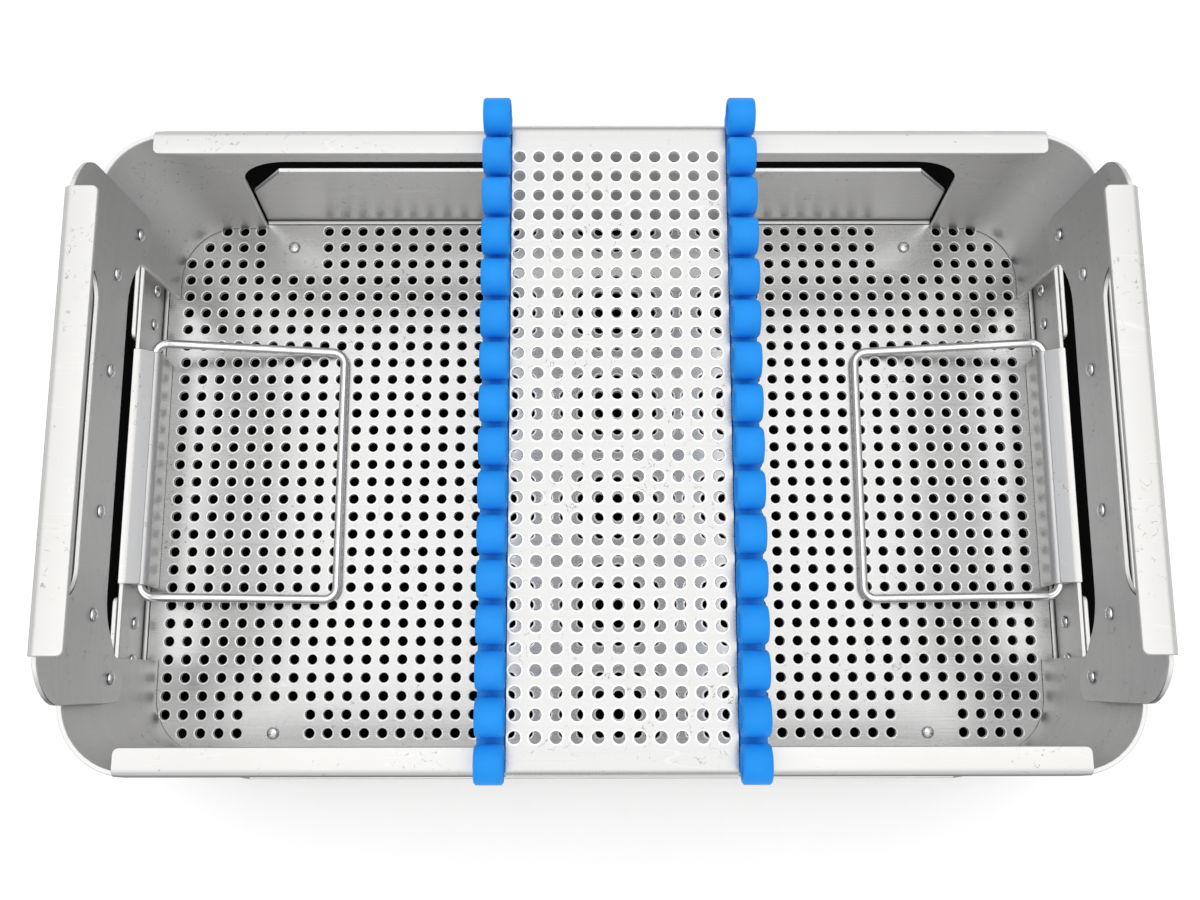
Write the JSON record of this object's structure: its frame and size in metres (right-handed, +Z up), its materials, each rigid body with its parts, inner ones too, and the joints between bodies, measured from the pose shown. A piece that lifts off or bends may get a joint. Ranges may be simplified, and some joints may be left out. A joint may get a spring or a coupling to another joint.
{
  "type": "sterilization basket with drop handles and roll-strip bridge",
  "caption": "Perforated steel sterilization basket with cut-out walls, raised hand-slot end plates, wire drop handles and a lift-off bridge with blue silicone roll strips.",
  "frame": {"origin": "middle of the four feet, in the plane they stand on", "axes": "+X along the basket to its right-hand end plate, +Y to the back wall, +Z up"},
  "size_m": [0.4284, 0.264, 0.1455],
  "materials": {
    "brushed_sheet": "brushed",
    "perforated_sheet": "fine brushed, electropolished",
    "polished_wire": "polished",
    "silicone": "satin"
  },
  "bodies": {
    "basket": {"floor_sheet": "perforated_sheet", "left_flange": "brushed_sheet", "right_flange": "brushed_sheet", "front_flange": "brushed_sheet", "back_flange": "brushed_sheet", "left_front_doubler": "brushed_sheet", "left_back_doubler": "brushed_sheet", "right_front_doubler": "brushed_sheet", "right_back_doubler": "brushed_sheet", "back_wall": "brushed_sheet", "front_wall": "brushed_sheet", "left_wall": "brushed_sheet", "right_wall": "brushed_sheet", "left_front_corner": "brushed_sheet", "left_back_corner": "brushed_sheet", "right_front_corner": "brushed_sheet", "right_back_corner": "brushed_sheet", "left_end_plate": "brushed_sheet", "right_end_plate": "brushed_sheet", "left_plate_rivet_a": "polished_wire", "left_plate_rivet_b": "polished_wire", "left_plate_rivet_c": "polished_wire", "left_plate_rivet_d": "polished_wire", "left_plate_rivet_e": "polished_wire", "left_plate_rivet_f": "polished_wire", "left_flange_rivet_a": "polished_wire", "left_flange_rivet_b": "polished_wire", "left_flange_rivet_c": "polished_wire", "left_flange_rivet_d": "polished_wire", "right_plate_rivet_a": "polished_wire", "right_plate_rivet_b": "polished_wire", "right_plate_rivet_c": "polished_wire", "right_plate_rivet_d": "polished_wire", "right_plate_rivet_e": "polished_wire", "right_plate_rivet_f": "polished_wire", "right_flange_rivet_a": "polished_wire", "right_flange_rivet_b": "polished_wire", "right_flange_rivet_c": "polished_wire", "right_flange_rivet_d": "polished_wire", "left_bracket": "brushed_sheet", "left_clasp": "brushed_sheet", "right_bracket": "brushed_sheet", "right_clasp": "brushed_sheet", "left_front_foot": "brushed_sheet", "left_front_foot_rivet": "polished_wire", "left_back_foot": "brushed_sheet", "left_back_foot_rivet": "polished_wire", "right_front_foot": "brushed_sheet", "right_front_foot_rivet": "polished_wire", "right_back_foot": "brushed_sheet", "right_back_foot_rivet": "polished_wire"},
    "left_handle": {"left_handle": "polished_wire"},
    "right_handle": {"right_handle": "polished_wire"},
    "bridge": {"bridge_plate": "perforated_sheet", "left_silicone_strip": "silicone", "right_silicone_strip": "silicone"}
  },
  "joints": [
    {"name": "left_handle_hinge", "type": "hinge", "parent": "basket", "child": "left_handle", "pos_m": [-0.2043, 0.0032, 0.0281], "axis": [0, -1, 0], "range_deg": [0, 92]},
    {"name": "right_handle_hinge", "type": "hinge", "parent": "basket", "child": "right_handle", "pos_m": [0.2043, 0.0032, 0.0281], "axis": [0, 1, 0], "range_deg": [0, 92]},
    {"name": "bridge_lift", "type": "slide", "parent": "basket", "child": "bridge", "axis": [0, 0, 1], "range_m": [0, 0.12]}
  ]
}
